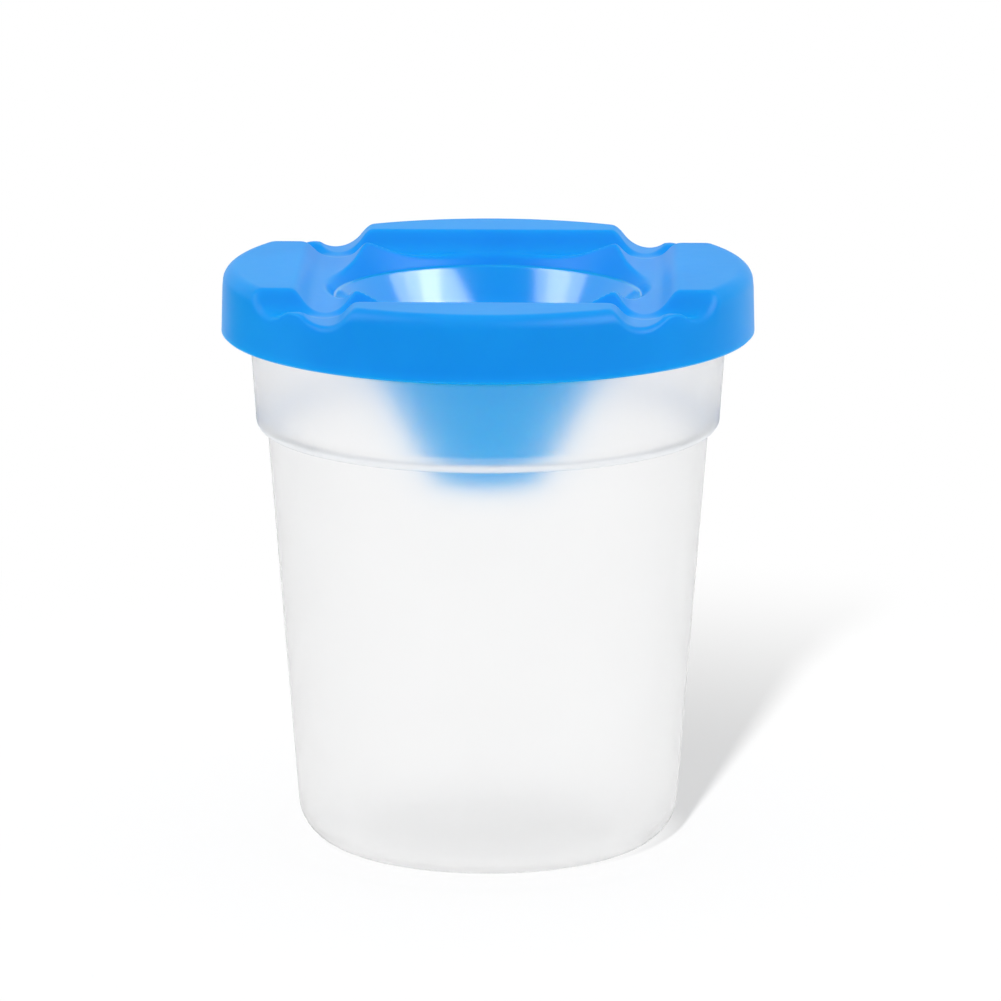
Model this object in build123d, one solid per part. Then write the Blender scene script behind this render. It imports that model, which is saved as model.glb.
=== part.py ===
from build123d import *
import os
from math import cos, radians, tan

# A two-piece brush washer: a translucent cup, and a push-on lid with four brush rests
# crossing its top and a drip funnel moulded in one with it.
# Millimetres, +Z up. The origin is the middle of the cup's foot, on the surface it stands on.

# ---- driving dimensions: cup ----
cup_height = 87.5           # to the flat top of the rim flange
cup_wall = 1.3
body_draft = 4.4            # degrees, the taper of the body and the collar
body_top_radius = 35.65     # outside of the body where the collar steps out
step_height = 68.3          # where the collar's underside meets the body
collar_step = 1.7           # how far the collar stands out, and the radius under it
base_corner = 7.0           # outside radius between the foot and the body
floor_thickness = 1.6
foot_width = 3.0            # flat ring that the cup stands on
foot_recess = 0.8           # how far the middle of the base is lifted
flange_reach = 2.41         # how far the rim flange stands out from the collar
flange_thickness = 1.4
flange_edge = 0.35
ledge_edge = 0.5            # inside edge of the ledge behind the step

# ---- driving dimensions: lid ----
lid_wall = 1.5
lid_rise = 7.2              # top face over the cup's rim
skirt_drop = 3.5            # lower edge of the skirt under the cup's rim
skirt_draft = 1.5           # degrees
shoulder_round = 2.4        # between the top face and the skirt
skirt_edge = 0.3
cavity_edge = 0.6

# ---- driving dimensions: brush rests ----
rest_offset = 25.3          # centre line of each rest from the lid's middle
rest_depth = 3.35           # floor under the top face
rest_flank = 50.0           # degrees from level
rest_floor_radius = 4.5
rest_lip = 0.7              # radius along the upper edges

# ---- driving dimensions: funnel ----
mouth_radius = 28.6         # where the funnel's outside line meets the top face
throat_radius = 8.0         # inside, at the tip
funnel_length = 34.2        # top face to tip
funnel_bow = 1.5            # how far that line bows towards the axis
funnel_wall = 1.4
lip_inset = 4.0             # inside edge of the ledge round the mouth, in from the mouth
lip_depth = 4.9             # that edge under the top face
ledge_width = 0.75
ledge_fall = 0.4
bore_bow = 1.2              # bow of the inside, from the ledge to the tip

# ---- fits ----
flange_clearance = 0.3      # rim flange to the inside of the skirt
plug_clearance = 0.1        # plug ring to the inside of the collar
plug_depth = 5.0            # plug ring under the cup's rim
plug_wall = 1.4
seat_wall = 1.2             # ring that sits on the rim flange
seat_inset = 0.9            # that ring's outside from the flange's edge

# ---- working allowances ----
small_edge = 0.6            # corners up to this size are flats
overrun = 5.0               # how far a cutter passes what it cuts
crest = 0.03                # a lip's arc runs out this far over the top face

lid_top = cup_height + lid_rise
lid_edge = cup_height - skirt_drop
body_slope = tan(radians(body_draft))
skirt_slope = tan(radians(skirt_draft))
collar_base = step_height + collar_step


def body_radius(height):
    """Outside radius of the tapered body."""
    return body_top_radius - (step_height - height) * body_slope


def collar_radius(height):
    """Outside radius of the collar, which has the body's taper."""
    return body_top_radius + collar_step + (height - collar_base) * body_slope


flange_radius = collar_radius(cup_height) + flange_reach


def skirt_inside(height):
    """Inside radius of the lid's skirt, which passes over the rim flange."""
    return flange_radius + flange_clearance + (cup_height - height) * skirt_slope


lid_radius = skirt_inside(lid_edge) + lid_wall


def rounded_profile(corners):
    """A closed outline from (across, up, size) corners, each rounded by its size.

    Corners no larger than small_edge are broken with a flat in place of an arc.
    """
    outline = make_face(Polyline(*[(x, y) for x, y, _ in corners], close=True))
    for x, y, size in corners:
        corner = outline.vertices().sort_by_distance((x, y, 0))[0]
        if size > small_edge:
            outline = fillet(corner, size)
        elif size > 0:
            outline = chamfer(corner, size)
    return outline


def turned(outline):
    """The outline, drawn as (radius, height), turned about the object's axis."""
    return revolve(Plane.XZ * outline, Axis.Z)


def ring(inner, outer, inner_low, outer_low, low, high):
    """A ring with tapered sides: radii at the top, then radii at the lower edge."""
    corners = [(inner_low, low, 0), (outer_low, low, 0), (outer, high, 0), (inner, high, 0)]
    return turned(rounded_profile(corners))


def cup_shape():
    """The cup: foot, rounded base, tapered body, stepped collar and rim flange."""
    foot_radius = body_radius(0) - base_corner * (1 / cos(radians(body_draft)) - body_slope)
    flange_low = cup_height - flange_thickness
    ledge = collar_base - collar_step + cup_wall
    outside = rounded_profile([
        (0, 0, 0),
        (body_radius(0), 0, base_corner),
        (body_radius(step_height), step_height, 0),
        (body_radius(step_height) + collar_step, step_height, collar_step * 0.96),
        (collar_radius(flange_low), flange_low, 0),
        (flange_radius, flange_low, flange_edge),
        (flange_radius, cup_height, flange_edge),
        (0, cup_height, 0),
    ])
    inside = rounded_profile([
        (0, floor_thickness, 0),
        (body_radius(floor_thickness) - cup_wall, floor_thickness, base_corner - cup_wall),
        (body_radius(ledge) - cup_wall, ledge, ledge_edge),
        (collar_radius(ledge) - cup_wall, ledge, 0),
        (collar_radius(cup_height + overrun) - cup_wall, cup_height + overrun, 0),
        (0, cup_height + overrun, 0),
    ])
    recess = Cylinder(foot_radius - foot_width, foot_recess * 2)
    return turned(outside) - turned(inside) - recess


def rest_outline(extra):
    """Section of a brush rest: a V with a round floor, its height measured from the top face.

    With extra it is the same section, larger by a wall all round and without lips.
    """
    slope = tan(radians(rest_flank))
    secant = 1 / cos(radians(rest_flank))
    vee = -rest_depth - rest_floor_radius * (secant - 1) - extra * secant
    high = overrun + extra
    if extra:
        half = (high - vee) / slope
        corners = [(0, vee, rest_floor_radius + extra), (half, high, 0), (-half, high, 0)]
    else:
        edge = (crest - vee) / slope
        wide = edge + 2 * rest_lip
        corners = [
            (0, vee, rest_floor_radius),
            (edge, crest, rest_lip),
            (wide, crest, 0),
            (wide, high, 0),
            (-wide, high, 0),
            (-wide, crest, 0),
            (-edge, crest, rest_lip),
        ]
    return rounded_profile(corners)


def rests(extra=0.0):
    """The four crossing brush rests as solid bars, two along Y and two along X."""
    length = 2 * (lid_radius + overrun)
    bar = extrude(Plane.XZ * rest_outline(extra), length / 2, both=True)
    bars = Part()
    for side in (-1, 1):
        placed = Pos(side * rest_offset, 0, lid_top) * bar
        bars += placed
        bars += Rot(0, 0, 90) * placed
    return bars


def bowed(low, high, bow, outward=0.0):
    """Points (low, middle, high) of an arc that bows towards the axis, moved outward by a wall."""
    chord = high - low
    half = chord.length / 2
    sweep = (half * half + bow * bow) / (2 * bow)
    away = Vector(chord.Y, -chord.X).normalized()
    centre = (low + high) / 2 + away * (sweep - bow)
    middle = (low + high) / 2 - away * bow
    reach = (sweep - outward) / sweep
    return [centre + (point - centre) * reach for point in (low, middle, high)]


def funnel_jacket():
    """The funnel's outside, closed across the mouth and the tip."""
    low = Vector(throat_radius, lid_top - funnel_length)
    high = Vector(mouth_radius, lid_top)
    throat, middle, mouth = bowed(low, high, funnel_bow, funnel_wall)
    edges = [
        ThreePointArc(throat, middle, mouth),
        Polyline(mouth, (0, mouth.Y), (0, throat.Y), throat),
    ]
    return turned(make_face(edges))


def funnel_bore():
    """The funnel's inside: a flared mouth, a narrow ledge round it, and the bowed cone."""
    low = Vector(throat_radius, lid_top - funnel_length)
    lip = Vector(mouth_radius - lip_inset, lid_top - lip_depth)
    ledge = Vector(lip.X + ledge_width, lip.Y + ledge_fall)
    flare = (mouth_radius - ledge.X) / (lid_top - ledge.Y)
    edges = [
        ThreePointArc(*bowed(low, lip, bore_bow)),
        Polyline(
            lip,
            ledge,
            (mouth_radius + overrun * flare, lid_top + overrun),
            (0, lid_top + overrun),
            (0, low.Y - overrun),
            (low.X, low.Y - overrun),
            low,
        ),
    ]
    return turned(make_face(edges))


def lid_drum():
    """The lid's outside before the rests and the funnel are taken out of it."""
    top_radius = lid_radius - (lid_top - lid_edge) * skirt_slope
    return turned(rounded_profile([
        (0, lid_edge, 0),
        (lid_radius, lid_edge, skirt_edge),
        (top_radius, lid_top, shoulder_round),
        (0, lid_top, 0),
    ]))


def lid_cavity():
    """The hollow under the lid's top, before the rests' and the funnel's walls cross it."""
    roof = lid_top - lid_wall
    return turned(rounded_profile([
        (0, lid_edge - overrun, 0),
        (skirt_inside(lid_edge - overrun), lid_edge - overrun, 0),
        (skirt_inside(roof), roof, cavity_edge),
        (0, roof, 0),
    ]))


def lid_rings():
    """Under the top: the plug ring inside the collar, and the ring that sits on the flange."""
    buried = lid_top - lid_wall / 2
    low = cup_height - plug_depth
    plug_high = collar_radius(buried) - cup_wall - plug_clearance
    plug_low = collar_radius(low) - cup_wall - plug_clearance
    plug = ring(plug_high - plug_wall, plug_high, plug_low - plug_wall, plug_low, low, buried)
    seat_outer = flange_radius - seat_inset
    seat_inner = seat_outer - seat_wall
    seat = ring(seat_inner, seat_outer, seat_inner, seat_outer, cup_height, buried)
    return plug + seat


def lid_shape():
    """The lid: cap with four brush rests, rings under it, and the funnel."""
    jacket = funnel_jacket()
    hollow = lid_cavity() - jacket - rests(lid_wall)
    body = lid_drum() - hollow + lid_rings() + jacket
    return body - rests() - funnel_bore()


os.makedirs("parts", exist_ok=True)
export_step(cup_shape(), "parts/cup.step")
export_step(lid_shape(), "parts/lid.step")
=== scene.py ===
"""Brush washer with lid: a milky cup and a glossy blue lid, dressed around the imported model."""

import logging
import math
from dataclasses import dataclass
from enum import Enum
from typing import Any

import bpy
import numpy as np
from mathutils import Matrix, Vector


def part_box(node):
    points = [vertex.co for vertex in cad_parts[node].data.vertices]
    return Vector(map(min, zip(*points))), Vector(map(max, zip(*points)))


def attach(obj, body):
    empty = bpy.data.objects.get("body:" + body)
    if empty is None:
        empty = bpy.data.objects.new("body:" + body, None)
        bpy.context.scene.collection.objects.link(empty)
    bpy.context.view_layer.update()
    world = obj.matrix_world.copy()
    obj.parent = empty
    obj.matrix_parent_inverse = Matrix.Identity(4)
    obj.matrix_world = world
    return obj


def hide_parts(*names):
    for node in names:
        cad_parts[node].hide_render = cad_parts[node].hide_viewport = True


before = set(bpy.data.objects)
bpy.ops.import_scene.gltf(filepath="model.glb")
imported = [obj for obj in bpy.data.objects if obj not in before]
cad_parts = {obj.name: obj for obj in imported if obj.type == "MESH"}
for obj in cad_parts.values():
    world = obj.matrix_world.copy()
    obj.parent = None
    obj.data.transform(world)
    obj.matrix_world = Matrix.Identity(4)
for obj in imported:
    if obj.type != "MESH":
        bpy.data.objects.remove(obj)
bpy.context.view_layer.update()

MM = 0.001
QUARTER_TURN = math.pi / 2
QUARTERS = 4
MERGE_DISTANCE = 0.002 * MM
SHARP_ANGLE = math.radians(35)
NOISE_MIDDLE = 0.5

Colour = tuple[float, float, float]
Stretch = tuple[float, float, float]
Point = tuple[float, float]

log = logging.getLogger("brush_washer")


class Body(Enum):
    """The bodies that the pieces ride on."""

    CUP = "cup"
    LID = "lid"


class Slot(Enum):
    """The record's material slots."""

    CUP = "cup_plastic"
    LID = "lid_plastic"


# ---------------------------------------------------------------- shader maths


class Wire:
    """A value on its way through a shader, on which sums can be written."""

    def __init__(self, bench: "Bench", socket: bpy.types.NodeSocket) -> None:
        """Wrap a socket.

        Args:
            bench: the material's node bench.
            socket: the output that carries the value.
        """
        self.bench = bench
        self.socket = socket

    def _math(self, operation: str, first: Any, second: Any) -> "Wire":
        """Add a Math node.

        Args:
            operation: the Math node's operation.
            first: a Wire or a number.
            second: a Wire or a number.

        Returns:
            The node's result.
        """
        node = self.bench.node("ShaderNodeMath", {"operation": operation}, {0: first, 1: second})
        return Wire(self.bench, node.outputs[0])

    def __add__(self, other: Any) -> "Wire":
        """Sum."""
        return self._math("ADD", self, other)

    __radd__ = __add__

    def __sub__(self, other: Any) -> "Wire":
        """Difference."""
        return self._math("SUBTRACT", self, other)

    def __rsub__(self, other: Any) -> "Wire":
        """Difference, with this value taken from the other."""
        return self._math("SUBTRACT", other, self)

    def __mul__(self, other: Any) -> "Wire":
        """Product."""
        return self._math("MULTIPLY", self, other)

    __rmul__ = __mul__

    def clipped(self) -> "Wire":
        """The value, held between 0 and 1."""
        node = self.bench.node("ShaderNodeClamp", {}, {"Value": self})
        return Wire(self.bench, node.outputs[0])

    def between(self, low: float, high: float) -> "Wire":
        """Smooth step.

        Args:
            low: where the result leaves 0.
            high: where the result reaches 1.

        Returns:
            The step as a Wire.
        """
        settings = {"interpolation_type": "SMOOTHSTEP"}
        node = self.bench.node("ShaderNodeMapRange", settings, {"Value": self, 1: low, 2: high})
        return Wire(self.bench, node.outputs[0])


class Bench:
    """A node tree, with one way to add a node to it."""

    def __init__(self, owner: bpy.types.Material | bpy.types.World) -> None:
        """Empty the tree of a new material or world.

        Args:
            owner: the material or world.
        """
        self.owner = owner
        owner.use_nodes = True
        self.tree = owner.node_tree
        self.tree.nodes.clear()

    def node(self, kind: str, settings: dict[str, Any], values: dict[Any, Any]) -> bpy.types.Node:
        """Add a node.

        Args:
            kind: the node's type name.
            settings: its own settings, made first.
            values: what goes into its sockets: numbers, colours, Wires or output sockets.

        Returns:
            The new node.
        """
        node = self.tree.nodes.new(kind)
        for name, value in settings.items():
            setattr(node, name, value)
        for name, value in values.items():
            source = value.socket if isinstance(value, Wire) else value
            socket = node.inputs[name]
            if isinstance(source, bpy.types.NodeSocket):
                self.tree.links.new(source, socket)
            elif socket.type == "RGBA":
                socket.default_value = (*source, 1.0)
            else:
                socket.default_value = source
        return node

    def noise(self, scale: float, detail: float, stretch: Stretch = (1, 1, 1)) -> Wire:
        """Noise on the object's own coordinates.

        Args:
            scale: cells per metre.
            detail: octaves.
            stretch: how the three axes are scaled first.

        Returns:
            The noise value, around 0.5.
        """
        place = self.node("ShaderNodeTexCoord", {}, {})
        mapped = self.node("ShaderNodeMapping", {}, {"Vector": place.outputs["Object"], "Scale": stretch})
        values = {"Vector": mapped.outputs[0], "Scale": scale, "Detail": detail}
        return Wire(self, self.node("ShaderNodeTexNoise", {}, values).outputs[0])

    def height(self) -> Wire:
        """Height over the floor, from the object's own coordinates.

        Returns:
            The height, in metres.
        """
        place = self.node("ShaderNodeTexCoord", {}, {})
        parts = self.node("ShaderNodeSeparateXYZ", {}, {0: place.outputs["Object"]})
        return Wire(self, parts.outputs["Z"])

    def reach(self) -> Wire:
        """Distance from the object's axis, from its own coordinates.

        Returns:
            The distance, in metres.
        """
        place = self.node("ShaderNodeTexCoord", {}, {})
        level = self.node("ShaderNodeMapping", {}, {"Vector": place.outputs["Object"], "Scale": (1, 1, 0)})
        length = self.node("ShaderNodeVectorMath", {"operation": "LENGTH"}, {0: level.outputs[0]})
        return Wire(self, length.outputs["Value"])

    def blend(self, amount: Wire, first: Any, second: Any) -> bpy.types.NodeSocket:
        """Mix two colours.

        Args:
            amount: 0 for the first, 1 for the second.
            first: a colour, or a socket that carries one.
            second: a colour, or a socket that carries one.

        Returns:
            The mixed colour's socket.
        """
        settings = {"data_type": "RGBA"}
        values = {0: amount, 6: first, 7: second}
        return self.node("ShaderNodeMix", settings, values).outputs[2]

    def bump(self, height: Wire, depth: float) -> bpy.types.NodeSocket:
        """Relief from a height.

        Args:
            height: the height, 0 to 1.
            depth: how deep the relief is, in metres.

        Returns:
            The bent normal's socket.
        """
        values = {"Strength": 1.0, "Distance": depth, "Height": height}
        return self.node("ShaderNodeBump", {}, values).outputs[0]

    def finish(self, shader: bpy.types.Node, output: str = "ShaderNodeOutputMaterial") -> Any:
        """Join a shader to the output.

        Args:
            shader: the last shader node.
            output: the output node's type.

        Returns:
            The material or world.
        """
        self.node(output, {}, {"Surface": shader.outputs[0]})
        return self.owner


def new_bench(name: str) -> Bench:
    """Start a material of that name."""
    return Bench(bpy.data.materials.new(name))


# ---------------------------------------------------------------- finishes


@dataclass(frozen=True)
class BlueMoulding:
    """Bright blue plastic of the lid: satin, a little smoother in its rests, polished in its funnel, with
    painted light: a lighter blue on the funnel within its lip, and a lighter one still on its lower part.
    """

    deep: Colour = (0.0040, 0.288, 0.822)
    bright: Colour = (0.0052, 0.308, 0.852)
    # Painted light: the funnel, within its lip, is painted this lighter blue for the light it catches; the
    # moulding itself is one blue.
    inner_painted_light: Colour = (0.0030, 0.350, 0.840)
    # Painted light: the funnel's lower part is painted a lighter blue still, for the light that reaches it
    # through the cup.
    lit: Colour = (0.0040, 0.480, 1.000)
    lower_painted_light_from: float = 86.0 * MM
    lower_painted_light_to: float = 80.0 * MM
    roughness: float = 0.36
    roughness_spread: float = 0.05
    gloss: float = 0.062
    polish_from: float = 24.7 * MM
    polish_to: float = 24.95 * MM
    polish_roughness: float = 0.13
    polish_bending: float = 1.50
    rest_smoother: float = 0.055
    rest_from: float = 92.6 * MM
    rest_to: float = 91.6 * MM
    rest_near: float = 41.0 * MM
    rest_far: float = 42.0 * MM
    cloud_scale: float = 45.0
    cloud_detail: float = 2.0
    cloud_low: float = 0.35
    cloud_high: float = 0.65
    glow_through: float = 0.6
    glow_depth: float = 2.2 * MM
    glow_spread: Colour = (0.25, 0.75, 1.0)
    skin_scale: float = 420.0
    skin_detail: float = 3.0
    skin_depth: float = 0.0010 * MM

    def material(self) -> bpy.types.Material:
        """Build the material.

        Returns:
            The material.
        """
        bench = new_bench("blue_moulding")
        reach = bench.reach()
        up = bench.height()
        cloud = bench.noise(self.cloud_scale, self.cloud_detail)
        skin = bench.noise(self.skin_scale, self.skin_detail)
        shade = bench.blend(cloud.between(self.cloud_low, self.cloud_high), self.deep, self.bright)
        # Within the funnel's lip: the polished coat, and the painted light of the lighter blue.
        polish_and_painted_light = 1.0 - reach.between(self.polish_from, self.polish_to)
        rest = (1.0 - up.between(self.rest_to, self.rest_from)) * (
            1.0 - reach.between(self.rest_near, self.rest_far)
        )
        smoother = rest * self.rest_smoother
        # Painted light: the lighter blue on the funnel's lower part.
        lit = 1.0 - up.between(self.lower_painted_light_to, self.lower_painted_light_from)
        values = {
            "Base Color": bench.blend(lit, bench.blend(polish_and_painted_light, shade, self.inner_painted_light), self.lit),
            "Roughness": (skin - NOISE_MIDDLE) * self.roughness_spread + self.roughness - smoother,
            "Specular IOR Level": self.gloss,
            "Coat Weight": polish_and_painted_light,
            "Coat Roughness": self.polish_roughness,
            "Coat IOR": self.polish_bending,
            "Subsurface Weight": self.glow_through,
            "Subsurface Scale": self.glow_depth,
            "Subsurface Radius": self.glow_spread,
            "Normal": bench.bump(skin, self.skin_depth),
        }
        return bench.finish(bench.node("ShaderNodeBsdfPrincipled", {}, values))


@dataclass(frozen=True)
class MilkyMoulding:
    """Translucent plastic of the cup: frosted and clear, a little milky all over, with a painted highlight
    in a band at the collar's step.
    """

    clear: Colour = (0.969, 0.969, 0.969)
    hazy: Colour = (0.959, 0.959, 0.959)
    # A bluish milky white: a little of it all over, and a painted highlight in the band at the collar's
    # step.
    milk_and_step_highlight: Colour = (0.945, 0.965, 0.985)
    roughness: float = 0.57
    roughness_spread: float = 0.06
    bending: float = 1.12
    gloss: float = 0.40
    cloud_scale: float = 60.0
    cloud_detail: float = 3.0
    cloud_low: float = 0.3
    cloud_high: float = 0.7
    grain_scale: float = 900.0
    grain_detail: float = 3.0
    grain_stretch: Stretch = (1.0, 1.0, 0.12)
    grain_depth: float = 0.010 * MM
    milk_share: float = 0.012
    # How much of the band at the collar's step is painted highlight.
    step_highlight_share: float = 0.65
    step_low: float = 68.5 * MM
    step_high: float = 69.6 * MM
    step_fade: float = 0.3 * MM

    def material(self) -> bpy.types.Material:
        """Build the material.

        Returns:
            The material.
        """
        bench = new_bench("milky_moulding")
        cloud = bench.noise(self.cloud_scale, self.cloud_detail)
        grain = bench.noise(self.grain_scale, self.grain_detail, self.grain_stretch)
        relief = bench.bump(grain, self.grain_depth)
        roughness = (grain - NOISE_MIDDLE) * self.roughness_spread + self.roughness
        haze = cloud.between(self.cloud_low, self.cloud_high)
        frosted = {
            "Base Color": bench.blend(haze, self.clear, self.hazy),
            "Roughness": roughness,
            "Transmission Weight": 1.0,
            "IOR": self.bending,
            "Specular IOR Level": self.gloss,
            "Normal": relief,
        }
        milky = {
            "Base Color": self.milk_and_step_highlight,
            "Roughness": roughness,
            "Specular IOR Level": self.gloss,
            "Normal": relief,
        }
        # The milky shader: a little everywhere, and a painted highlight at the collar's step.
        clear = bench.node("ShaderNodeBsdfPrincipled", {}, frosted)
        milky_and_highlight = bench.node("ShaderNodeBsdfPrincipled", {}, milky)
        values = {"Fac": self.milk_and_highlight_share(bench), 1: clear.outputs[0], 2: milky_and_highlight.outputs[0]}
        return bench.finish(bench.node("ShaderNodeMixShader", {}, values))

    def milk_and_highlight_share(self, bench: Bench) -> Wire:
        """How milky the plastic is: a little all over, and a painted highlight in a band at the collar's
        step.

        Args:
            bench: the material's node bench.

        Returns:
            The share of the milky shader, painted highlight included.
        """
        up = bench.height()
        low = up.between(self.step_low - self.step_fade, self.step_low + self.step_fade)
        high = up.between(self.step_high - self.step_fade, self.step_high + self.step_fade)
        # The band at the step is a painted highlight, standing in for the light that the collar's rounded
        # underside bends in from the floor.
        return (low - high) * self.step_highlight_share + self.milk_share


@dataclass(frozen=True)
class WhitePaper:
    """Plain white floor, which fades to pure white away from the object and keeps its shadow."""

    colour: Colour = (0.25, 0.25, 0.25)
    paper_share: float = 0.42
    foot_from: float = 22 * MM
    foot_to: float = 36 * MM
    near: float = 55 * MM
    far: float = 205 * MM

    def material(self) -> bpy.types.Material:
        """Build the material.

        Returns:
            The material.
        """
        bench = new_bench("white_paper")
        reach = bench.reach()
        shaded = reach.between(self.foot_from, self.foot_to) * (1.0 - reach.between(self.near, self.far))
        path = bench.node("ShaderNodeLightPath", {}, {})
        eye = Wire(bench, path.outputs["Is Camera Ray"])
        plastic = Wire(bench, path.outputs["Is Glossy Ray"]) + path.outputs["Is Transmission Ray"]
        paper = bench.node("ShaderNodeBsdfDiffuse", {}, {"Color": self.colour})
        white = bench.node("ShaderNodeEmission", {}, {"Color": (1, 1, 1), "Strength": 1.0})
        share = (eye * (1.0 - shaded * self.paper_share) + plastic).clipped()
        values = {"Fac": share, 1: paper.outputs[0], 2: white.outputs[0]}
        return bench.finish(bench.node("ShaderNodeMixShader", {}, values))


# ---------------------------------------------------------------- turned shapes


@dataclass(frozen=True)
class Corner:
    """One corner of a turned outline, from the axis and from the floor, with its rounding."""

    out: float
    up: float
    rounding: float = 0.0


def rounded(corners: list[Corner], steps: int) -> list[Point]:
    """Round the corners of an outline.

    Args:
        corners: the outline's corners in order; the first and last stay sharp.
        steps: how many facets a rounded corner gets.

    Returns:
        The outline's points.
    """
    points: list[Point] = []
    for index, corner in enumerate(corners):
        if corner.rounding == 0.0:
            points.append((corner.out, corner.up))
            continue
        here = Vector((corner.out, corner.up))
        before = Vector((corners[index - 1].out, corners[index - 1].up)) - here
        after = Vector((corners[index + 1].out, corners[index + 1].up)) - here
        before.normalize()
        after.normalize()
        half = before.angle(after) / 2
        middle = here + (before + after).normalized() * (corner.rounding / math.sin(half))
        start = here + before * (corner.rounding / math.tan(half)) - middle
        end = here + after * (corner.rounding / math.tan(half)) - middle
        for step in range(steps + 1):
            spoke = start.slerp(end, step / steps) if start.angle(end) > 0 else start
            points.append(tuple(middle + spoke.normalized() * corner.rounding))
    return points


def select_only(piece: bpy.types.Object) -> None:
    """Make one piece the only selected and active one.

    Args:
        piece: the piece.
    """
    bpy.ops.object.select_all(action="DESELECT")
    piece.select_set(True)
    bpy.context.view_layer.objects.active = piece


def turn(name: str, outline: list[Point], steps: int, ends_on_axis: bool) -> bpy.types.Object:
    """Spin an outline a quarter turn about the axis, and mirror the quarter to a whole turn.

    Args:
        name: the piece's name.
        outline: its points, from the axis and from the floor.
        steps: how many steps a whole turn has.
        ends_on_axis: whether the outline's two ends lie on the axis and aren't joined.

    Returns:
        The turned piece, with its faces pointing outwards.
    """
    bpy.ops.object.select_all(action="DESELECT")
    bpy.ops.mesh.primitive_circle_add(vertices=len(outline), radius=1.0, fill_type="NOTHING")
    piece = bpy.context.object
    piece.name = name
    piece.data.name = name
    places = np.array([(out, 0.0, up) for out, up in outline], dtype=np.float32)
    piece.data.vertices.foreach_set("co", places.ravel())
    ends = {0, len(outline) - 1}
    for vertex in piece.data.vertices:
        vertex.select = False
    for edge in piece.data.edges:
        edge.select = ends_on_axis and set(edge.vertices) == ends
    bpy.ops.object.mode_set(mode="EDIT")
    if ends_on_axis:
        bpy.ops.mesh.select_mode(type="EDGE")
        bpy.ops.mesh.delete(type="EDGE")
        bpy.ops.mesh.select_mode(type="VERT")
    bpy.ops.mesh.select_all(action="SELECT")
    bpy.ops.mesh.spin(
        steps=steps // QUARTERS, angle=QUARTER_TURN, center=(0, 0, 0), axis=(0, 0, 1)
    )
    bpy.ops.object.mode_set(mode="OBJECT")
    select_only(piece)
    halves = piece.modifiers.new("halves", "MIRROR")
    halves.use_axis = (True, True, False)
    halves.use_mirror_merge = True
    halves.merge_threshold = MERGE_DISTANCE
    bpy.ops.object.modifier_apply(modifier=halves.name)
    bpy.ops.object.mode_set(mode="EDIT")
    bpy.ops.mesh.select_all(action="SELECT")
    bpy.ops.mesh.remove_doubles(threshold=MERGE_DISTANCE)
    bpy.ops.mesh.normals_make_consistent(inside=False)
    bpy.ops.object.mode_set(mode="OBJECT")
    return piece


def soft_max(first: np.ndarray, second: np.ndarray | float, width: float) -> np.ndarray:
    """The larger of two depths, with the edge between them rounded.

    Args:
        first: depths.
        second: depths.
        width: how far apart the depths stop blending.

    Returns:
        The blended depths.
    """
    closeness = np.maximum(width - np.abs(first - second), 0.0) / width
    return np.maximum(first, second) + closeness * closeness * width / 4


# ---------------------------------------------------------------- lid


@dataclass(frozen=True)
class BrushRest:
    """Section of the four grooves that carry a brush handle: a V with a round floor."""

    offset: float = 25.3 * MM
    depth: float = 3.35 * MM
    floor_radius: float = 4.5 * MM
    flank: float = math.radians(50.0)

    def depth_at(self, across: np.ndarray, wall: float) -> np.ndarray:
        """Depth under the lid's top face, less than 0 outside the groove.

        Args:
            across: distance from the groove's centre line.
            wall: 0 for the groove itself, or the wall's thickness for its underside.

        Returns:
            The depths.
        """
        radius = self.floor_radius + wall
        centre = self.depth - self.floor_radius
        tip = centre + radius / math.cos(self.flank)
        flank = tip - across * math.tan(self.flank)
        floor = centre + np.sqrt(np.maximum(radius**2 - across**2, 0.0))
        return np.where(across < radius * math.sin(self.flank), floor, flank)


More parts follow.
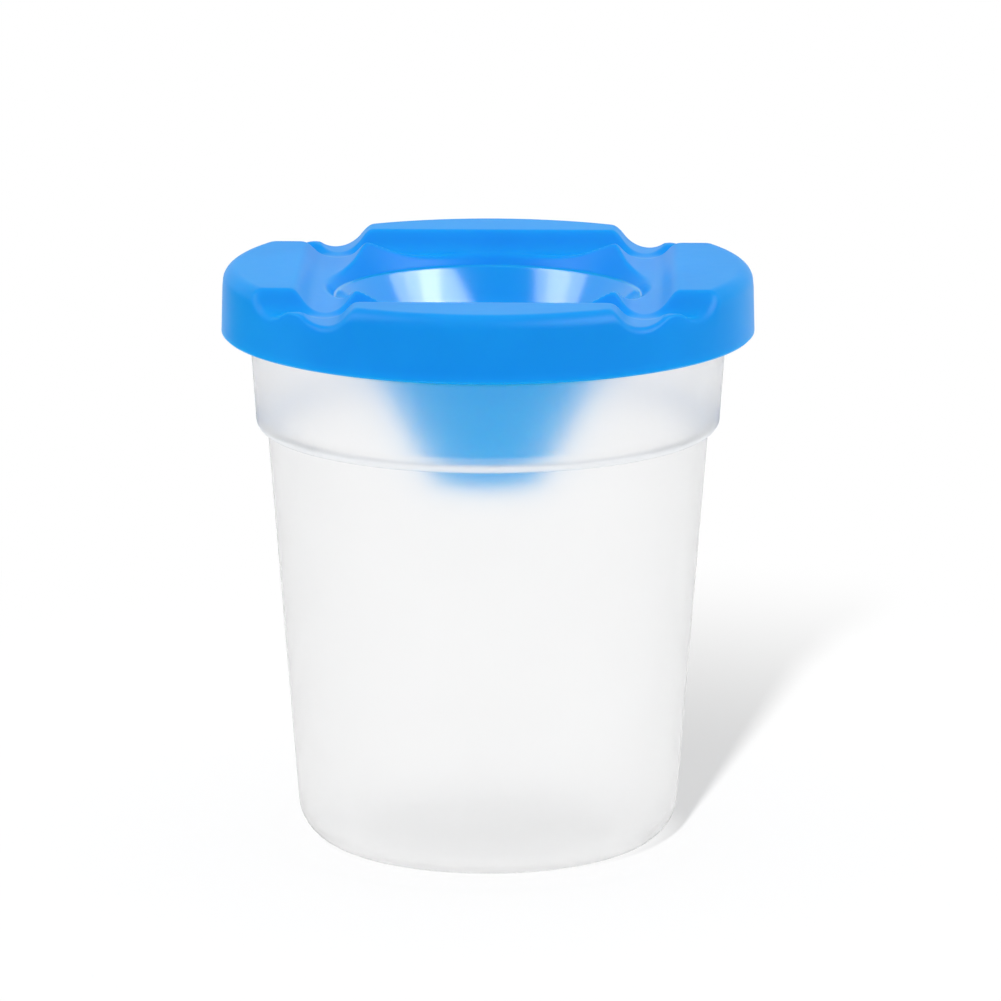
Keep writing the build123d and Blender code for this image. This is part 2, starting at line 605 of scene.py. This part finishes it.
@dataclass(frozen=True)
class Funnel:
    """The drip funnel: a flared mouth, a narrow ledge round it, and a bowed cone below."""

    throat_radius: float = 8.0 * MM
    mouth_radius: float = 28.6 * MM
    length: float = 34.2 * MM
    bow: float = 0.6 * MM
    wall: float = 1.4 * MM
    lip_radius: float = 24.45 * MM
    lip_depth: float = 4.9 * MM
    lip_round: float = 0.6 * MM
    ledge_width: float = 0.45 * MM
    ledge_fall: float = 0.10 * MM
    ledge_round: float = 0.4 * MM
    bore_bow: float = 1.2 * MM
    arc_steps: int = 28
    round_steps: int = 6
    past: float = 20.0 * MM
    past_slope: float = 1.2

    def arc(self, low: Point, high: Point, bow: float, wall: float) -> list[Point]:
        """An arc that bows towards the axis.

        Args:
            low: its lower end, as distance from the axis and depth under the top face.
            high: its upper end.
            bow: how far it bows.
            wall: how far it is moved outward.

        Returns:
            Its points, from the lower end up.
        """
        start, end = Vector(low), Vector(high)
        chord = end - start
        half = chord.length / 2
        sweep = (half**2 + bow**2) / (2 * bow)
        along = chord.normalized()
        away = Vector((-along.y, along.x))
        centre = (start + end) / 2 + away * (sweep - bow)
        reach = math.asin(half / sweep)
        points = []
        for step in range(self.arc_steps + 1):
            turned = reach * (2 * step / self.arc_steps - 1)
            spoke = along * math.sin(turned) - away * math.cos(turned)
            points.append(tuple(centre + spoke * (sweep - wall)))
        return points

    def inside(self) -> list[Point]:
        """Draw the funnel's inside line.

        Returns:
            Its points, from the tip up and on past the top face.
        """
        lip = (self.lip_radius, self.lip_depth)
        ledge = (self.lip_radius + self.ledge_width, self.lip_depth - self.ledge_fall)
        flare = (self.mouth_radius - ledge[0]) / ledge[1]
        arc = self.arc((self.throat_radius, self.length), lip, self.bore_bow, 0.0)
        corners = [Corner(*point) for point in arc[:-1]]
        corners.append(Corner(*lip, self.lip_round))
        corners.append(Corner(*ledge, self.ledge_round))
        corners.append(Corner(self.mouth_radius + flare * self.past, -self.past))
        return rounded(corners, self.round_steps)

    def outside(self) -> list[Point]:
        """Draw the funnel's outside line.

        Returns:
            Its points, from the tip up and on past the top face.
        """
        mouth = (self.mouth_radius, 0.0)
        points = self.arc((self.throat_radius, self.length), mouth, self.bow, self.wall)
        out, down = points[-1]
        return [*points, (out + self.past, down - self.past * self.past_slope)]

    def depth_at(self, radius: np.ndarray, line: list[Point]) -> np.ndarray:
        """Depth of one of the funnel's lines, less than 0 outside the mouth.

        Args:
            radius: distances from the axis.
            line: the inside or the outside line.

        Returns:
            The depths.
        """
        out, down = np.array(line).T
        return np.interp(radius, out, down)


class Zone(Enum):
    """How a ring of the lid's mesh meets the grooves."""

    FACE = 0
    SKIRT = 1
    UNDER = 2
    FIXED = 3


@dataclass(frozen=True)
class Ring:
    """One ring of the lid's mesh: its radius, its depth under the top face, and its zone."""

    radius: float
    depth: float
    zone: Zone


@dataclass
class Lid:
    """The push-on lid: cap, brush rests, rings under it and funnel, as one moulding."""

    rest: BrushRest = BrushRest()
    funnel: Funnel = Funnel()
    finish: BlueMoulding = BlueMoulding()
    wall: float = 1.5 * MM
    draft: float = math.radians(1.5)
    skirt: float = 10.7 * MM
    shoulder: float = 2.4 * MM
    exit_round: float = 1.1 * MM
    edge: float = 0.35 * MM
    groin_blend: float = 0.8 * MM
    mouth_blend: float = 0.8 * MM
    lip_blend: float = 0.9 * MM
    post_drop: float = 2.0 * MM
    post_from: float = 28.6 * MM
    post_slope: float = 2.0
    plug_inset: float = 3.81 * MM
    plug_wall: float = 1.4 * MM
    plug_depth: float = 5.0 * MM
    plug_taper: float = math.radians(4.4)
    seat_wall: float = 1.2 * MM
    seat_inset: float = 0.9 * MM
    root_spread: float = 0.2 * MM
    root_narrow: float = 0.1 * MM
    turn_steps: int = 600
    shoulder_steps: int = 10
    skirt_shares: tuple[float, ...] = (0.12, 0.35, 0.65, 1.0)
    lip_step: float = 0.12 * MM
    rest_step: float = 0.31 * MM
    funnel_step: float = 1.3 * MM
    steep_inside: float = 5.0 * MM
    lip_inside: float = 0.5 * MM
    lip_outside: float = 1.3 * MM
    vault_inside: float = 7.0 * MM
    batch: int = 20000

    def __post_init__(self) -> None:
        """Take the lid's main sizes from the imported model."""
        low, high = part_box("lid")
        across = min(high.x - low.x, high.y - low.y)
        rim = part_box("cup")[1]
        self.radius: float = across / 2 + self.edge * math.tan(self.draft)
        self.top: float = high.z
        self.seat_up: float = rim.z
        self.flange_radius: float = rim.x

    def build(self) -> bpy.types.Object:
        """Model, dress and place the lid.

        Returns:
            The finished piece.
        """
        rings = self.rings()
        outline = [(ring.radius, self.top - ring.depth) for ring in rings]
        piece = turn("lid_moulding", outline, self.turn_steps, ends_on_axis=False)
        self.press_rests(piece, rings)
        bpy.ops.object.shade_smooth_by_angle(angle=SHARP_ANGLE)
        piece.data.materials.append(self.finish.material())
        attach(piece, Body.LID.value)
        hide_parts("lid")
        return piece

    def rings(self) -> list[Ring]:
        """Lay out the rings of the mesh, once round the lid's section.

        Returns:
            The rings, from the tip up the funnel, over the top, down the skirt and back under.
        """
        slope = math.tan(self.draft)
        top_radius = self.radius - self.skirt * slope
        rings = self.face_rings(top_radius - self.shoulder)
        for share in self.skirt_shares:
            down = self.shoulder + (self.skirt - self.edge - self.shoulder) * share
            rings.append(Ring(top_radius + down * slope, down, Zone.SKIRT))
        inside = self.radius - self.wall
        roof = inside - (self.skirt - self.wall) * slope
        rings.append(Ring(self.radius - self.edge, self.skirt, Zone.FIXED))
        rings.append(Ring(inside + self.edge, self.skirt, Zone.FIXED))
        rings.append(Ring(inside, self.skirt - self.edge, Zone.FIXED))
        rings.append(Ring(roof, self.wall, Zone.UNDER))
        return rings + self.under_rings()

    def face_rings(self, bend: float) -> list[Ring]:
        """Rings of the visible face: up the funnel's inside, over the top and the shoulder.

        Args:
            bend: where the shoulder's curve starts.

        Returns:
            The rings.
        """
        tip = self.funnel.throat_radius
        lip = self.funnel.lip_radius
        steep = lip - self.steep_inside
        spans = [
            np.arange(tip + self.edge, steep, self.funnel_step),
            np.arange(steep, lip - self.lip_inside, 2 * self.rest_step),
            np.arange(lip - self.lip_inside, lip + self.lip_outside, self.lip_step),
            np.arange(lip + self.lip_outside, bend, self.rest_step),
        ]
        radii = np.concatenate(spans)
        depths = np.maximum(self.funnel.depth_at(radii, self.funnel.inside()), 0.0)
        rings = [Ring(tip, self.funnel.length, Zone.FIXED)]
        rings += [Ring(float(out), float(down), Zone.FACE) for out, down in zip(radii, depths)]
        for step in range(self.shoulder_steps + 1):
            angle = QUARTER_TURN * step / self.shoulder_steps
            drop = self.shoulder * (1 - math.cos(angle))
            rings.append(Ring(bend + self.shoulder * math.sin(angle), drop, Zone.FACE))
        return rings

    def under_rings(self) -> list[Ring]:
        """Rings under the top: the seat ring, the plug ring and the funnel's outside.

        Returns:
            The rings, from the seat ring in and down to the funnel's tip.
        """
        seat = self.flange_radius - self.seat_inset
        seat_down = self.top - self.seat_up
        plug = self.flange_radius - self.plug_inset
        plug_down = seat_down + self.plug_depth
        foot = plug - (plug_down - self.wall) * math.tan(self.plug_taper)
        inner = plug - self.plug_wall
        places = [
            (seat + self.root_spread, self.wall, Zone.UNDER),
            (seat, seat_down, Zone.FIXED),
            (seat - self.seat_wall, seat_down, Zone.FIXED),
            (seat - self.seat_wall - self.root_narrow, self.wall, Zone.UNDER),
            (plug + self.root_spread, self.wall, Zone.UNDER),
            (foot, plug_down, Zone.FIXED),
            (foot - self.plug_wall, plug_down, Zone.FIXED),
            (inner, self.wall, Zone.UNDER),
        ]
        line = self.funnel.outside()
        tip, tip_down = line[0]
        steep = self.rest.offset - self.vault_inside
        spans = [
            np.arange(inner - 2 * self.rest_step, steep, -2 * self.rest_step),
            np.arange(steep, tip, -2 * self.funnel_step),
        ]
        radii = np.concatenate(spans)
        depths = np.maximum(self.funnel.depth_at(radii, line), self.wall)
        places += [(float(out), float(down), Zone.UNDER) for out, down in zip(radii, depths)]
        places.append((tip, tip_down, Zone.FIXED))
        return [Ring(*place) for place in places]

    def zones(self, radius: np.ndarray, depth: np.ndarray, rings: list[Ring]) -> np.ndarray:
        """Find each point's zone, from the ring that it lies on.

        Args:
            radius: the points' distances from the axis.
            depth: their depths under the top face.
            rings: the rings that the lid was turned from.

        Returns:
            The zones' numbers.
        """
        known = np.array([(ring.radius, ring.depth) for ring in rings])
        numbers = np.array([ring.zone.value for ring in rings])
        zone = np.empty(len(radius), dtype=int)
        for start in range(0, len(radius), self.batch):
            part = slice(start, start + self.batch)
            gap = (radius[part, None] - known[:, 0]) ** 2 + (depth[part, None] - known[:, 1]) ** 2
            zone[part] = numbers[np.argmin(gap, axis=1)]
        return zone

    def press_rests(self, piece: bpy.types.Object, rings: list[Ring]) -> None:
        """Press the four grooves into the turned lid, above and below, with rounded edges.

        Args:
            piece: the turned lid.
            rings: the rings that it was turned from.
        """
        flat = np.empty(len(piece.data.vertices) * 3, dtype=np.float32)
        piece.data.vertices.foreach_get("co", flat)
        places = flat.reshape(-1, 3).astype(float)
        radius = np.hypot(places[:, 0], places[:, 1])
        depth = self.top - places[:, 2]
        zone = self.zones(radius, depth, rings)
        across = [np.abs(np.abs(places[:, side]) - self.rest.offset) for side in (0, 1)]

        groove = soft_max(*[self.rest.depth_at(gap, 0.0) for gap in across], self.groin_blend)
        bore = self.funnel.depth_at(radius, self.funnel.inside())
        sunk = soft_max(groove, bore, self.mouth_blend) + self.edge_drop(radius, self.exit_round)
        face = soft_max(sunk, self.edge_drop(radius, self.shoulder), self.lip_blend)
        face = soft_max(face, self.post_top(places), self.lip_blend)

        cut = soft_max(groove + self.exit_round, self.shoulder, self.lip_blend)
        share = (depth - self.shoulder) / (self.skirt - self.shoulder)
        wall = cut * (1 - share) + self.skirt * share

        vault = soft_max(*[self.rest.depth_at(gap, self.wall) for gap in across], self.groin_blend)
        jacket = self.funnel.depth_at(radius, self.funnel.outside())
        under = soft_max(np.maximum(vault, jacket), self.wall, self.lip_blend / 2)

        for kind, level in ((Zone.FACE, face), (Zone.SKIRT, wall), (Zone.UNDER, under)):
            depth = np.where(zone == kind.value, level, depth)
        places[:, 2] = self.top - depth
        piece.data.vertices.foreach_set("co", places.astype(np.float32).ravel())
        piece.data.update()

    def post_top(self, places: np.ndarray) -> np.ndarray:
        """How low the four small posts outside the crossings are cut.

        Args:
            places: the places of the lid's points.

        Returns:
            The depths, less than 0 away from the posts.
        """
        nearer = np.minimum(np.abs(places[:, 0]), np.abs(places[:, 1]))
        return self.post_drop - np.maximum(self.post_from - nearer, 0.0) * self.post_slope

    def edge_drop(self, radius: np.ndarray, size: float) -> np.ndarray:
        """How far a rounded edge at the skirt has dropped.

        Args:
            radius: distances from the axis.
            size: the edge's radius.

        Returns:
            The drops.
        """
        past = np.clip(radius - (self.radius - self.skirt * math.tan(self.draft) - size), 0.0, size)
        return size - np.sqrt(size**2 - past**2)


# ---------------------------------------------------------------- cup


@dataclass
class Cup:
    """The milky cup: foot, rounded base, tapered body, stepped collar and rim flange."""

    finish: MilkyMoulding = MilkyMoulding()
    wall: float = 1.3 * MM
    floor: float = 1.6 * MM
    taper: float = math.radians(4.4)
    body_top: float = 35.65 * MM
    step_up: float = 68.3 * MM
    step_out: float = 1.7 * MM
    step_round: float = 1.632 * MM
    step_ramp: float = 1.2 * MM
    ramp_round: float = 1.0 * MM
    base_round: float = 7.0 * MM
    foot_width: float = 3.0 * MM
    foot_recess: float = 0.8 * MM
    foot_edge: float = 0.3 * MM
    flange: float = 1.4 * MM
    flange_root: float = 0.2 * MM
    edge: float = 0.35 * MM
    turn_steps: int = 360
    round_steps: int = 12

    def build(self) -> bpy.types.Object:
        """Model, dress and place the cup.

        Returns:
            The finished piece.
        """
        outline = rounded(self.corners(), self.round_steps)
        piece = turn("cup_moulding", outline, self.turn_steps, ends_on_axis=True)
        bpy.ops.object.shade_smooth_by_angle(angle=SHARP_ANGLE)
        piece.data.materials.append(self.finish.material())
        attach(piece, Body.CUP.value)
        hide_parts("cup")
        return piece

    def body(self, up: float) -> float:
        """Outside radius of the tapered body at a height."""
        return self.body_top - (self.step_up - up) * math.tan(self.taper)

    def collar(self, up: float) -> float:
        """Outside radius of the collar at a height."""
        base = self.step_up + self.step_out
        return self.body_top + self.step_out + (up - base) * math.tan(self.taper)

    def corners(self) -> list[Corner]:
        """The cup's section, from the axis under the base, round the rim, to the axis inside.

        Returns:
            The section's corners.
        """
        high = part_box("cup")[1]
        rim = high.z
        foot = self.body(0) - self.base_round * (1 / math.cos(self.taper) - math.tan(self.taper))
        recess = foot - self.foot_width
        under = rim - self.flange
        ledge = self.step_up + self.wall
        ramp_top = ledge + self.step_ramp
        ramp_foot = ledge - self.step_ramp
        return [
            Corner(0, self.foot_recess),
            Corner(recess - self.foot_recess, self.foot_recess, self.foot_edge),
            Corner(recess, 0, self.foot_edge),
            Corner(self.body(0), 0, self.base_round),
            Corner(self.body(self.step_up), self.step_up),
            Corner(self.body(self.step_up) + self.step_out, self.step_up, self.step_round),
            Corner(self.collar(under), under, self.flange_root),
            Corner(high.x, under, self.edge),
            Corner(high.x, rim, self.edge),
            Corner(self.collar(rim) - self.wall, rim, self.edge),
            Corner(self.collar(ramp_top) - self.wall, ramp_top, self.ramp_round),
            Corner(self.body(ramp_foot) - self.wall, ramp_foot, self.ramp_round),
            Corner(self.body(self.floor) - self.wall, self.floor, self.base_round - self.wall),
            Corner(0, self.floor),
        ]


# ---------------------------------------------------------------- studio


@dataclass(frozen=True)
class Softbox:
    """One soft box: its angles round the object and over the floor, its size and its power."""

    name: str
    side: float
    height: float
    width: float
    tall: float
    power: float


@dataclass(frozen=True)
class Flag:
    """One black card: its angles round the object and over the floor, its distance and its size."""

    name: str
    side: float
    height: float
    distance: float
    width: float
    tall: float


@dataclass
class Studio:
    """Floor, sky, lamps and camera."""

    paper: WhitePaper = WhitePaper()
    floor_size: float = 8.0
    horizon: float = 0.65
    zenith: float = 1.50
    glow_from: float = 0.12
    glow_to: float = 0.50
    boxes: tuple[Softbox, ...] = (
        Softbox("wide_right", math.radians(63), math.radians(41), 1.42, 1.05, 22.0),
        Softbox("veil_right", math.radians(57), math.radians(41), 1.10, 1.05, 13.0),
        Softbox("core_right", math.radians(68), math.radians(41), 0.28, 1.05, 6.4),
        Softbox("wide_left", math.radians(-81), math.radians(43), 0.68, 1.15, 11.3),
        Softbox("core_left", math.radians(-78), math.radians(41), 0.30, 1.15, 4.8),
    )
    box_distance: float = 1.3
    flags: tuple[Flag, ...] = (
        Flag("flag_front", math.radians(-6), math.radians(60), 1.7, 1.5, 1.5),
        Flag("flag_back", math.radians(180), math.radians(60), 1.7, 2.4, 1.9),
        Flag("flag_left", math.radians(-114), math.radians(0), 0.27, 0.26, 0.10),
    )
    sun_power: float = 21.0
    sun_spread: float = math.radians(3.0)
    sun_height: float = math.radians(26.6)
    sun_side: float = math.radians(-8.8)
    sun_distance: float = 1.0
    elevation: float = math.radians(12.8)
    azimuth: float = math.radians(1.3)
    focal_pixels: float = 7500.0
    image_size: float = 1001.0
    axis_column: float = 488.0
    distance: float = 1216.4 * MM
    aim_up: float = 55.8 * MM
    sensor: float = 36.0
    view_end: float = 50.0

    def build(self, lid: bpy.types.Object) -> None:
        """Set up everything around the object.

        Args:
            lid: the only piece that the soft boxes light.
        """
        floor = self.lay_floor()
        self.light_sky()
        for box in self.boxes:
            self.hang_box(box, lid)
        for flag in self.flags:
            self.hang_flag(flag)
        self.raise_sun(floor)
        self.place_camera()

    def lay_floor(self) -> bpy.types.Object:
        """Lay the white floor.

        Returns:
            The floor.
        """
        bpy.ops.object.select_all(action="DESELECT")
        bpy.ops.mesh.primitive_plane_add(size=self.floor_size)
        floor = bpy.context.object
        floor.name = "floor"
        floor.data.materials.append(self.paper.material())
        return floor

    def light_sky(self) -> None:
        """Light the world from above, and show it plain white to the eye and through plastic."""
        world = bpy.data.worlds.new("sky")
        bench = Bench(world)
        place = bench.node("ShaderNodeTexCoord", {}, {})
        way = bench.node("ShaderNodeSeparateXYZ", {}, {0: place.outputs["Generated"]})
        up = Wire(bench, way.outputs["Z"]).between(self.glow_from, self.glow_to)
        glow = up * (self.zenith - self.horizon) + self.horizon
        path = bench.node("ShaderNodeLightPath", {}, {})
        shown = Wire(bench, path.outputs["Is Camera Ray"]) + path.outputs["Is Glossy Ray"]
        shown = (shown + path.outputs["Is Transmission Ray"]).clipped()
        strength = glow * (1.0 - shown) + shown
        sky = bench.node("ShaderNodeBackground", {}, {"Strength": strength})
        bpy.context.scene.world = bench.finish(sky, "ShaderNodeOutputWorld")

    def aimed(self, item: bpy.types.Object, side: float, height: float, distance: float) -> None:
        """Place a lamp, a card or the camera round the object and aim it.

        Args:
            item: what is placed.
            side: its angle to the right of the front.
            height: its angle over the floor.
            distance: how far off it is.
        """
        aim = Vector((0, 0, self.aim_up))
        level = math.cos(height)
        way = Vector((math.sin(side) * level, -math.cos(side) * level, math.sin(height)))
        turned = way.to_track_quat("Z", "Y").to_matrix().to_4x4()
        item.matrix_world = Matrix.Translation(aim + way * distance) @ turned

    def lamp(self, name: str, kind: str, power: float) -> bpy.types.Object:
        """Make a lamp.

        Args:
            name: its name.
            kind: the lamp's type.
            power: its power.

        Returns:
            The lamp.
        """
        data = bpy.data.lights.new(name, kind)
        data.energy = power
        item = bpy.data.objects.new(name, data)
        bpy.context.scene.collection.objects.link(item)
        return item

    def light_only(self, item: bpy.types.Object, piece: bpy.types.Object) -> None:
        """Let a lamp light one piece and nothing else.

        Args:
            item: the lamp.
            piece: what it lights.
        """
        lit = bpy.data.collections.new(item.name + "_only")
        lit.objects.link(piece)
        item.light_linking.receiver_collection = lit

    def hang_box(self, box: Softbox, lid: bpy.types.Object) -> None:
        """Hang one soft box.

        Args:
            box: the soft box.
            lid: what it lights.
        """
        item = self.lamp(box.name, "AREA", box.power)
        item.data.shape = "RECTANGLE"
        item.data.size = box.width
        item.data.size_y = box.tall
        item.visible_diffuse = False
        item.visible_transmission = False
        self.light_only(item, lid)
        self.aimed(item, box.side, box.height, self.box_distance)

    def hang_flag(self, flag: Flag) -> None:
        """Hang one black card, which only gloss shows.

        Args:
            flag: the card.
        """
        bpy.ops.object.select_all(action="DESELECT")
        bpy.ops.mesh.primitive_plane_add(size=1.0)
        item = bpy.context.object
        item.name = flag.name
        bench = new_bench(flag.name)
        black = bench.node("ShaderNodeEmission", {}, {"Strength": 0.0})
        item.data.materials.append(bench.finish(black))
        self.aimed(item, flag.side, flag.height, flag.distance)
        item.scale = (flag.width, flag.tall, 1.0)
        for kind in ("camera", "diffuse", "transmission", "shadow", "volume_scatter"):
            setattr(item, "visible_" + kind, False)

    def raise_sun(self, floor: bpy.types.Object) -> None:
        """Raise the low front lamp that throws the long shadow across the floor.

        Args:
            floor: the only thing that the lamp lights.
        """
        item = self.lamp("sun", "SUN", self.sun_power)
        item.data.angle = self.sun_spread
        self.light_only(item, floor)
        self.aimed(item, self.sun_side, self.sun_height, self.sun_distance)

    def place_camera(self) -> None:
        """Place the camera, and show colours as they are written."""
        data = bpy.data.cameras.new("camera")
        data.sensor_width = self.sensor
        data.lens = self.focal_pixels / self.image_size * self.sensor
        data.shift_x = (self.image_size / 2 - self.axis_column) / self.image_size
        data.clip_end = self.view_end
        item = bpy.data.objects.new("camera", data)
        bpy.context.scene.collection.objects.link(item)
        self.aimed(item, self.azimuth, self.elevation, self.distance)
        bpy.context.scene.camera = item
        bpy.context.scene.view_settings.view_transform = "Standard"


def main() -> None:
    """Build the pieces in order and report each."""
    logging.basicConfig(level=logging.INFO, format="%(message)s")
    pieces = {"cup": Cup().build(), "lid": Lid().build()}
    for name, piece in pieces.items():
        log.info("%s: %d faces", name, len(piece.data.polygons))
    Studio().build(pieces["lid"])


if __name__ == "__main__":
    main()
